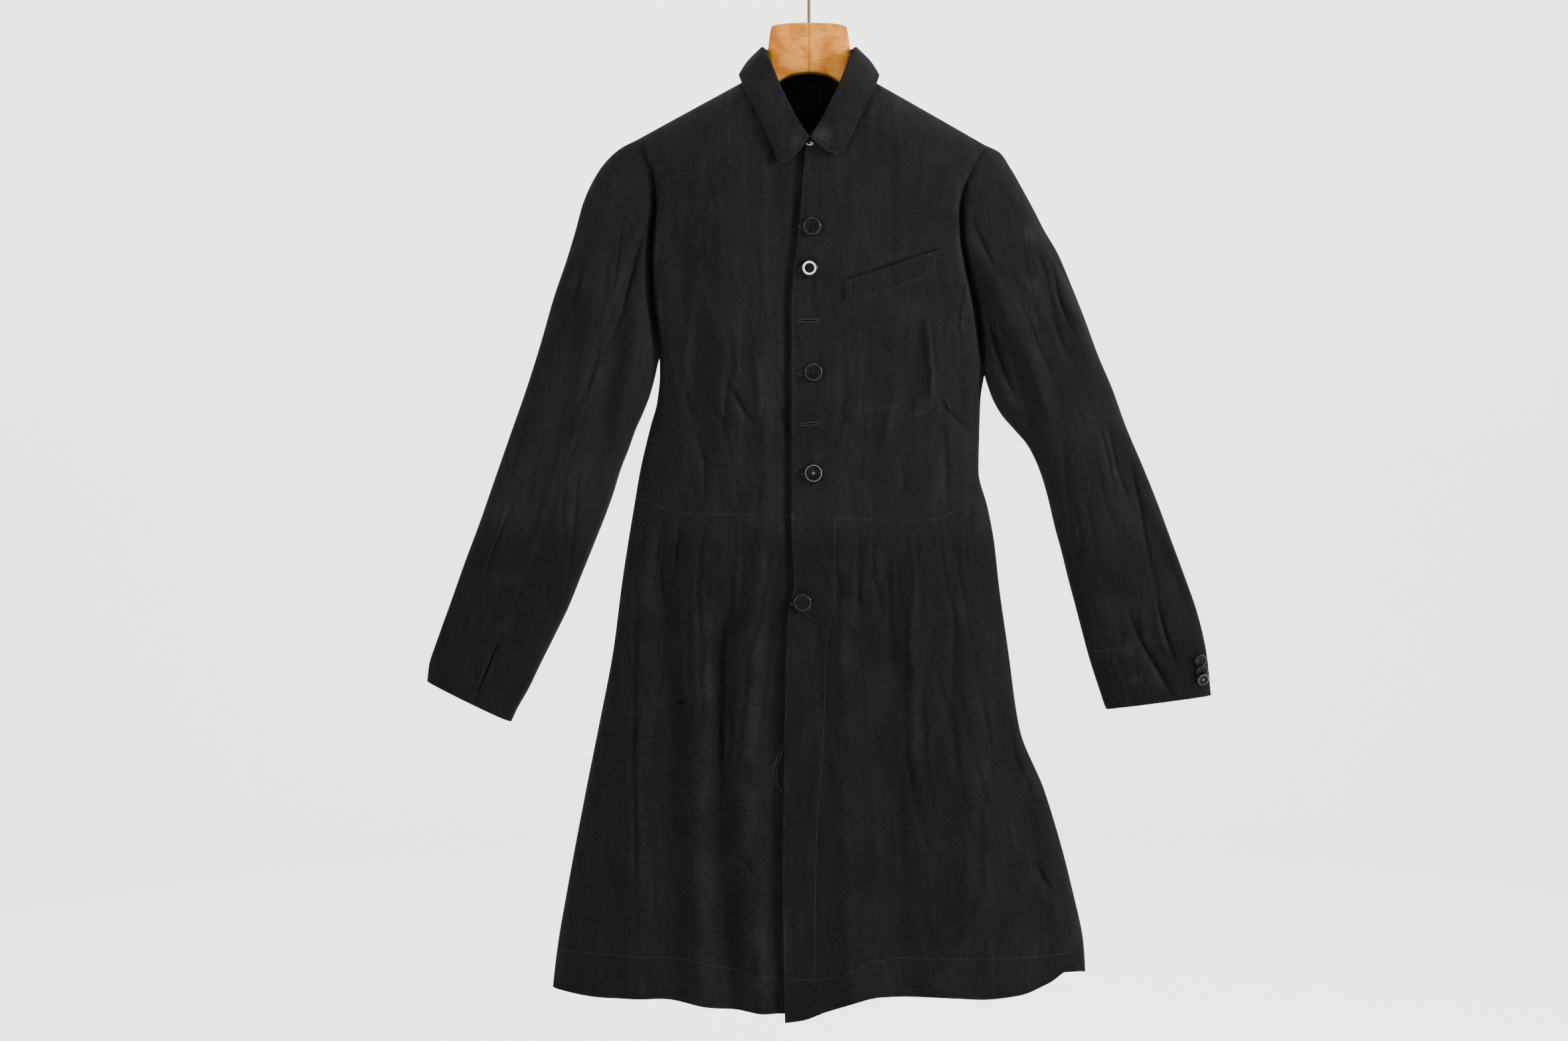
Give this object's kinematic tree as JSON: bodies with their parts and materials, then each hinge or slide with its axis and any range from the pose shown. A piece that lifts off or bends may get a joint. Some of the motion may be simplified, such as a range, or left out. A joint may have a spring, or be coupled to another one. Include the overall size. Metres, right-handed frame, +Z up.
{
  "type": "coat on a hanger",
  "caption": "Long dark cotton work coat with a fold-down collar, a slanted breast pocket welt and two-piece sleeves, hanging buttoned on a wooden hanger with a wire hook.",
  "frame": {"origin": "inside crest of the hanger's hook, where a rail carries it", "axes": "+Z up, +X towards the wearer's left sleeve (to the right as seen from the front), +Y from the front of the coat to its back"},
  "size_m": [0.8754, 0.0892, 1.1876],
  "materials": {
    "drill_cloth": "matte black cotton drill, greyed along seams and edges",
    "horn_button": "polished dark horn with a raised rim",
    "hanger_wood": "worn varnished beech",
    "hook_wire": "dulled steel wire",
    "collar_hook_metal": "pale worn brass"
  },
  "bodies": {
    "root": {"bodice_back": "drill_cloth", "bodice_front_left": "drill_cloth", "bodice_front_right": "drill_cloth", "skirt_back": "drill_cloth", "skirt_front_left": "drill_cloth", "skirt_front_right": "drill_cloth", "sleeve_left_upper": "drill_cloth", "sleeve_left_under": "drill_cloth", "sleeve_right_upper": "drill_cloth", "sleeve_right_under": "drill_cloth", "collar": "drill_cloth", "breast_pocket_welt": "drill_cloth", "front_button_1": "horn_button", "front_button_2": "horn_button", "front_button_3": "horn_button", "front_button_4": "horn_button", "front_button_5": "horn_button", "cuff_button_1": "horn_button", "cuff_button_2": "horn_button", "cuff_button_3": "horn_button", "hanger": "hanger_wood", "hanger_hook": "hook_wire", "collar_hook": "collar_hook_metal"}
  },
  "joints": []
}
